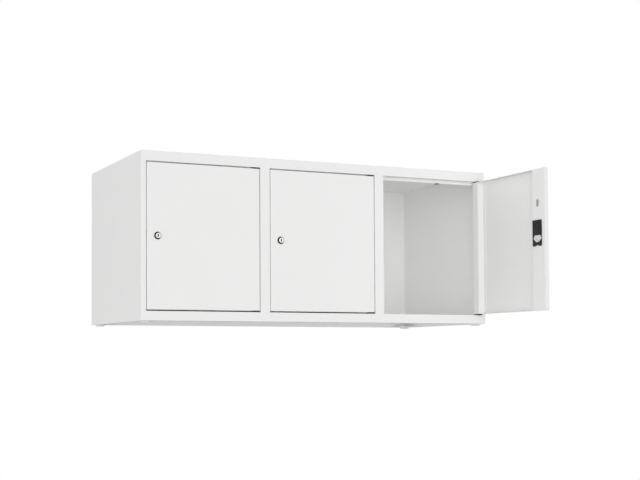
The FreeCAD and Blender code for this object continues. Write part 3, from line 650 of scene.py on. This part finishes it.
# Lock bodies
# Each is a nickel-plated casting: a conical bezel, turned and polished, that stands on the door's face, and a
# barrel behind it that goes through the door and takes the nut. Behind the bezel's front edge the nickel is
# painted darker, as painted shade on the flank and rim.
plating, given = group_of(
    "tumbled_plating", {"Vector": "Vector", "Metal": "Color", "Gloss": "Float", "Scratch": "Float"},
    skin_outputs)
haze_shade, haze_rough = 0.3, 0.14
haze = noise(plating, given["Vector"], scale=160.0, detail=4.0)
scuff = noise(plating, given["Vector"], scale=1600.0, detail=3.0)
relief = worked_out(plating, "MULTIPLY", scuff, given["Scratch"])
rough = worked_out(plating, "MULTIPLY_ADD", haze, haze_rough, given["Gloss"])
give_skin(plating, given["Metal"], clouded(plating, haze, haze_shade), rough, relief)
door_face = door_low[1]
bezel_height = 0.0054
bright_nickel, shaded_nickel = (0.74, 0.73, 0.71, 1), (0.54, 0.535, 0.525, 1)


def lock_body_grid():
    """A closed section of radius and depth with eased corners, turned about the lock's axis along Y."""
    bore, face, rim, barrel = 0.00706, 0.0078, 0.0116, 0.009
    rim_height, barrel_depth = 0.0022, 0.0155
    section = eased(
        [(bore, -bezel_height), (face, -bezel_height), (rim, -rim_height), (rim, 0), (barrel, 0),
         (barrel, barrel_depth), (bore, barrel_depth)],
        [0.00015, 0.0006, 0.0006, 0.00005, 0.00005, 0.0003, 0.0001])
    turn = np.linspace(0, math.tau, num=72, endpoint=False)
    radius, depth = section[:, :1], section[:, 1:]
    return np.stack([lock_axis[0] + radius * np.cos(turn), door_face + depth + 0 * radius * turn,
                     lock_axis[2] + radius * np.sin(turn)], axis=-1)


def ramp(tree, value, low, high):
    """A share that is 0 up to a low value, 1 from a high value on, and straight between them."""
    sockets = {"Value": value, "From Min": low, "From Max": high}
    return place_node(tree, "ShaderNodeMapRange", sockets, clamp=True).outputs[0]


def mixed(tree, share, first, second):
    """A first colour that turns into a second one as the share goes from 0 to 1."""
    sockets = {"Factor": share, 6: first, 7: second}
    return place_node(tree, "ShaderNodeMix", sockets, data_type="RGBA").outputs[2]


def bezel_nickel(name, place, angle):
    """Nickel plate, bright on the bezel's front and painted darker behind its front edge, as painted shade.
    """
    made, tree, spot = empty_material(name, place, angle)
    depth = place_node(tree, "ShaderNodeSeparateXYZ", {0: spot}).outputs["Y"]
    bezel_front = door_face - bezel_height
    # Painted shade: past the front edge the colour mixes to a darker nickel, standing in for the dark
    # reflection on the flank and rim.
    flank_shade_begins, flank_shade_full = 0.0001, 0.0006
    behind = ramp(tree, depth, bezel_front + flank_shade_begins, bezel_front + flank_shade_full)
    metal = mixed(tree, behind, bright_nickel, shaded_nickel)
    skin = filled_group(tree, plating, {"Vector": spot, "Metal": metal, "Gloss": 0.06, "Scratch": 0.000001})
    wear_skin(tree, skin, {"Metallic": 1.0})
    return made


for hand in doors:
    nickel = bezel_nickel("lock_" + hand + "_nickel", pivot[hand], opening[hand])
    bezel = piece_of("lock_bezel_" + hand, hung([lock_body_grid()], hand), True, nickel)
    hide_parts("lock_" + hand + "_body")
    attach(bezel, "door_" + hand)


# Lock plugs
# The turning middle of each lock, nickel plated like its bezel. A little behind the front the keyway is
# painted nearly black, as painted shade for the deep slot.
plug_inset, keyway_depth = 0.0003, 0.0125
keyway_shade_begins, keyway_shade_full = 0.0001, 0.0010
painted_keyway_shade = (0.012, 0.012, 0.012, 1)
dull_metal, dull_rough = -0.9, 0.4


def keyed_nickel(name, place, angle):
    """Nickel plate that is painted nearly black, as painted shade, and turns dull with depth behind the
    plug's front, and is pale and dull at the tail."""
    made, tree, spot = empty_material(name, place, angle)
    skin = filled_group(tree, plating, {
        "Vector": spot, "Metal": bright_nickel, "Gloss": 0.10, "Scratch": 0.000001})
    depth = place_node(tree, "ShaderNodeSeparateXYZ", {0: spot}).outputs["Y"]
    plug_front = door_face - bezel_height + plug_inset
    # Painted shade: past the plug's front the keyway's colour goes nearly black, standing in for the shade
    # deep in the slot.
    inside = ramp(tree, depth, plug_front + keyway_shade_begins, plug_front + keyway_shade_full)
    at_tail = worked_out(tree, "GREATER_THAN", depth, plug_front + keyway_depth)
    keyway_shade = worked_out(tree, "SUBTRACT", inside, at_tail, clamp=True)
    dull = worked_out(tree, "MAXIMUM", keyway_shade, at_tail)
    wear_skin(tree, skin, {
        "Base Color": mixed(tree, keyway_shade, skin["Color"], painted_keyway_shade),
        "Roughness": worked_out(tree, "MULTIPLY_ADD", dull, dull_rough, skin["Roughness"]),
        "Metallic": worked_out(tree, "MULTIPLY_ADD", dull, dull_metal, 1.0)})
    return made


for hand in doors:
    plug_nickel = keyed_nickel("lock_" + hand + "_plug_nickel", pivot[hand], opening[hand])
    finish_node("lock_" + hand + "_plug", plug_nickel)


# Lock cases
# Thin covers of black plastic on the back of each door, moulded with a hole for the lock's barrel and a slot
# for the cam. They keep clothes away from the lock.
case_plastic = moulded_plastic(
    "case_plastic", (0.018, 0.018, 0.019), gloss=0.36, grain=0.00001, specular=0.4)
for hand in doors:
    finish_node("lock_" + hand + "_case", case_plastic)


# Lock nuts, retainers and cams
# Pressed steel, zinc plated. The nut and the cam stay bright, and the retainer, which was tumbled longer, is
# pale and matt.
def plated_metal(name, metal, gloss, scratch, metallic):
    """Plated metal: a tint with a faint haze, and a skin with fine scuffs."""
    made, tree, spot = empty_material(name)
    skin = filled_group(tree, plating, {
        "Vector": spot, "Metal": (*metal, 1), "Gloss": gloss, "Scratch": scratch})
    wear_skin(tree, skin, {"Metallic": metallic})
    return made


zinc = plated_metal("zinc_plate", (0.66, 0.67, 0.68), gloss=0.26, scratch=0.000004, metallic=1.0)
matt_zinc = plated_metal("matt_zinc", (0.86, 0.86, 0.86), gloss=0.5, scratch=0.00001, metallic=0.25)
for hand in doors:
    finish_node("lock_" + hand + "_retainer", matt_zinc)
    for piece_name in ("nut", "cam"):
        finish_node("lock_" + hand + "_" + piece_name, zinc)
